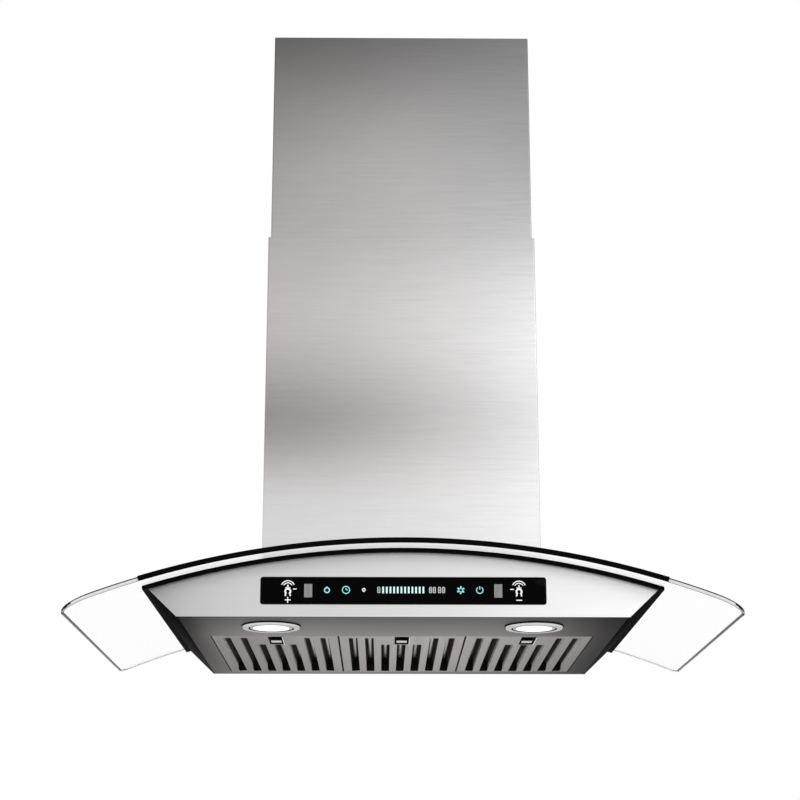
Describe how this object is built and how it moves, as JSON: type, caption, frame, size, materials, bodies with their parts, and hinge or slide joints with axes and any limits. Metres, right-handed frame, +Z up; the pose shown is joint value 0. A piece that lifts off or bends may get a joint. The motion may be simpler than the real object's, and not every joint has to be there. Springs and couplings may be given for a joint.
{
  "type": "wall mount range hood",
  "caption": "Wall mount range hood with an arched glass canopy, a touch strip, lamps, hinged baffle filters and a telescopic chimney over a ducted blower.",
  "frame": {"origin": "middle of the four wall holes in the back of the blower box, on the wall plane", "axes": "+X to the right seen from the front, +Y towards the wall, +Z up along the chimney"},
  "size_m": [0.752, 0.5012, 0.8075],
  "materials": {
    "clear_glass": "clear tempered, polished edge",
    "black_trim": "gloss black",
    "black_rubber": "matt",
    "zinc_screw": "bright zinc",
    "brushed_steel": "brushed, grain across",
    "underside_steel": "brushed, in the shade of the hood",
    "galvanised_steel": "galvanised, dull",
    "touch_glass": "gloss black glass",
    "sensor_window": "ribbed, smoked",
    "black_plastic": "moulded",
    "circuit_board": "solder mask",
    "chrome": "polished",
    "lamp_lens": "frosted, lit",
    "aluminium": "cast",
    "spring_steel": "drawn wire",
    "filter_steel": "brushed baffle sheet",
    "latch_steel": "pressed",
    "motor_paint": "semi-gloss",
    "grey_plastic": "moulded",
    "white_plastic": "moulded"
  },
  "bodies": {
    "hood": {"glass_canopy": "clear_glass", "glass_front_trim": "black_trim", "glass_gasket": "black_rubber", "glass_spacers": "black_rubber", "motor_grommets": "black_rubber", "glass_screws": "zinc_screw", "body_screws": "zinc_screw", "body_shell": "brushed_steel", "chimney_lower": "brushed_steel", "underside_panel": "underside_steel", "back_panel": "galvanised_steel", "bridge_plate": "galvanised_steel", "blower_box": "galvanised_steel", "blower_top_plate": "galvanised_steel", "volute_scroll": "galvanised_steel", "volute_side_left": "galvanised_steel", "volute_side_right": "galvanised_steel", "motor_bracket": "galvanised_steel", "chimney_tabs": "galvanised_steel", "touch_strip": "touch_glass", "gesture_window_left": "sensor_window", "gesture_window_right": "sensor_window", "strip_carrier": "black_plastic", "cable_gland": "black_plastic", "duct_collar": "black_plastic", "control_board": "circuit_board", "power_board": "circuit_board", "lamp_bezel_left": "chrome", "lamp_bezel_right": "chrome", "lamp_lens_left": "lamp_lens", "lamp_lens_right": "lamp_lens", "lamp_body_left": "aluminium", "lamp_body_right": "aluminium", "lamp_clips": "spring_steel", "damper_pin": "spring_steel", "motor": "motor_paint", "power_box": "grey_plastic", "power_box_lid": "grey_plastic", "run_capacitor": "white_plastic", "terminal_block": "white_plastic", "chimney_glides": "white_plastic"},
    "left_filter": {"filter_tray_left": "filter_steel", "filter_baffles_left": "filter_steel", "latch_spring_left": "spring_steel"},
    "left_latch": {"latch_left": "latch_steel"},
    "centre_filter": {"filter_tray_centre": "filter_steel", "filter_baffles_centre": "filter_steel", "latch_spring_centre": "spring_steel"},
    "centre_latch": {"latch_centre": "latch_steel"},
    "right_filter": {"filter_tray_right": "filter_steel", "filter_baffles_right": "filter_steel", "latch_spring_right": "spring_steel"},
    "right_latch": {"latch_right": "latch_steel"},
    "rotor": {"impeller": "black_plastic", "motor_shaft": "spring_steel"},
    "front_flap": {"damper_flap_front": "grey_plastic"},
    "back_flap": {"damper_flap_back": "grey_plastic"},
    "upper_chimney": {"chimney_upper": "brushed_steel", "chimney_bracket": "galvanised_steel", "chimney_screws": "zinc_screw"}
  },
  "joints": [
    {"name": "chimney_slide", "type": "slide", "parent": "hood", "child": "upper_chimney", "axis": [0, 0, 1], "range_m": [-0.25, 0.12]},
    {"name": "left_filter_hinge", "type": "hinge", "parent": "hood", "child": "left_filter", "pos_m": [-0.1498, -0.0255, -0.2088], "axis": [1, 0, 0], "range_deg": [0, 75]},
    {"name": "left_latch_slide", "type": "slide", "parent": "left_filter", "child": "left_latch", "axis": [0, 1, 0], "range_m": [0, 0.006], "stiffness_N_per_m": 300, "springref_m": -0.004, "deforming": ["latch_spring_left"]},
    {"name": "centre_filter_hinge", "type": "hinge", "parent": "hood", "child": "centre_filter", "pos_m": [0, -0.0255, -0.2088], "axis": [1, 0, 0], "range_deg": [0, 75]},
    {"name": "centre_latch_slide", "type": "slide", "parent": "centre_filter", "child": "centre_latch", "axis": [0, 1, 0], "range_m": [0, 0.006], "stiffness_N_per_m": 300, "springref_m": -0.004, "deforming": ["latch_spring_centre"]},
    {"name": "right_filter_hinge", "type": "hinge", "parent": "hood", "child": "right_filter", "pos_m": [0.1498, -0.0255, -0.2088], "axis": [1, 0, 0], "range_deg": [0, 75]},
    {"name": "right_latch_slide", "type": "slide", "parent": "right_filter", "child": "right_latch", "axis": [0, 1, 0], "range_m": [0, 0.006], "stiffness_N_per_m": 300, "springref_m": -0.004, "deforming": ["latch_spring_right"]},
    {"name": "impeller_spin", "type": "hinge", "parent": "hood", "child": "rotor", "pos_m": [0, -0.098, -0.0435], "axis": [1, 0, 0], "continuous": true},
    {"name": "front_flap_hinge", "type": "hinge", "parent": "hood", "child": "front_flap", "pos_m": [0, -0.146, 0.142], "axis": [-1, 0, 0], "range_deg": [0, 75]},
    {"name": "back_flap_hinge", "type": "hinge", "parent": "hood", "child": "back_flap", "pos_m": [0, -0.146, 0.142], "axis": [1, 0, 0], "range_deg": [0, 75]}
  ]
}
